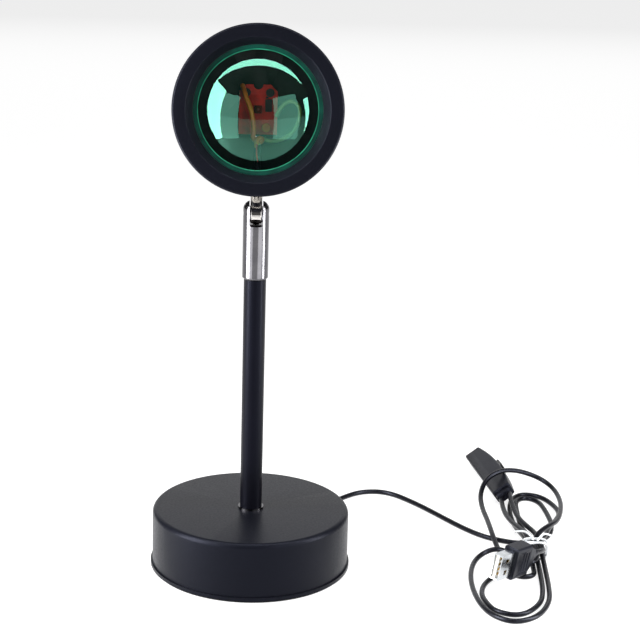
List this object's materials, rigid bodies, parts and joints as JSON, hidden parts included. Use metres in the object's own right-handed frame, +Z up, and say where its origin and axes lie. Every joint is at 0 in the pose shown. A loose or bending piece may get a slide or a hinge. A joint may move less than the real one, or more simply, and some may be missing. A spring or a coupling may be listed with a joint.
{
  "type": "sunset projection lamp",
  "caption": "Sunset projection desk lamp: round weighted base, slim stem, swivelling drum head with a coated glass lens, and a tied USB cord with an inline push switch",
  "frame": {"origin": "Centre of the base's underside, on the table, below the stem's axis", "axes": "+Z up along the stem, -Y the way the lens faces at rest, +X to the side the cord leaves by"},
  "size_m": [0.1996, 0.1948, 0.2554],
  "materials": {
    "black_satin": "satin black powder coat",
    "polished_nickel": "polished",
    "bright_steel": "plain machined steel",
    "cast_ballast": "rough cast",
    "bare_aluminium": "plain extruded",
    "black_rubber": "matte",
    "black_plastic": "fine matte moulding",
    "cord_jacket": "smooth soft jacket",
    "tinted_glass": "polished with a colour-separating coating",
    "red_board": "red coated board",
    "yellow_lamp_face": "clear dome over phosphor",
    "wire_jackets": "coloured thin jackets",
    "clear_tie": "clear soft film",
    "white_insert": "moulded",
    "gilt_contacts": "plated"
  },
  "bodies": {
    "stand": {"base_shell": "black_satin", "base_plate": "black_satin", "foot_pad": "black_rubber", "base_screws": "bright_steel", "base_weight": "cast_ballast", "cable_gland": "black_plastic", "stem_tube": "black_satin", "stem_washer": "bright_steel", "stem_nut": "bright_steel", "stem_foot_ring": "bright_steel", "swivel_washer": "polished_nickel", "swivel_stud": "bright_steel", "switch_lower_shell": "black_plastic", "switch_upper_shell": "black_plastic", "switch_grommet": "black_rubber", "switch_contact_block": "white_insert", "plug_shell": "bright_steel", "plug_tongue": "white_insert", "plug_contacts": "gilt_contacts", "plug_grip": "black_plastic", "cord_feed": "cord_jacket", "cord_hank": "cord_jacket", "cord_hank_plug_side": "cord_jacket", "cord_tie": "clear_tie", "inner_lead": "cord_jacket"},
    "swivel": {"swivel_barrel": "polished_nickel", "swivel_grub_screw": "bright_steel", "pivot_pin": "bright_steel", "friction_washers": "bright_steel"},
    "head": {"neck_post": "polished_nickel", "neck_saddle_washer": "polished_nickel", "neck_nut": "bright_steel", "lamp_housing": "black_satin", "front_bezel": "black_satin", "lens": "tinted_glass", "lens_gasket": "black_rubber", "heat_sink": "bare_aluminium", "heat_sink_screws": "bright_steel", "led_board": "red_board", "led_board_screws": "bright_steel", "led_chip": "yellow_lamp_face", "lamp_wires": "wire_jackets", "rear_cover": "black_plastic", "rear_cover_screws": "bright_steel"},
    "button": {"switch_button": "black_plastic"}
  },
  "joints": [
    {"name": "swivel_turn", "type": "hinge", "parent": "stand", "child": "swivel", "pos_m": [0, 0, 0.1389], "axis": [0, 0, 1], "range_deg": [-170, 170]},
    {"name": "head_tilt", "type": "hinge", "parent": "swivel", "child": "head", "pos_m": [0, 0, 0.1673], "axis": [1, 0, 0], "range_deg": [-78, 102]},
    {"name": "button_press", "type": "slide", "parent": "stand", "child": "button", "axis": [-0.8054, -0.1493, -0.5736], "range_m": [0, 0.0008], "stiffness_N_per_m": 400, "springref_m": -0.001}
  ]
}
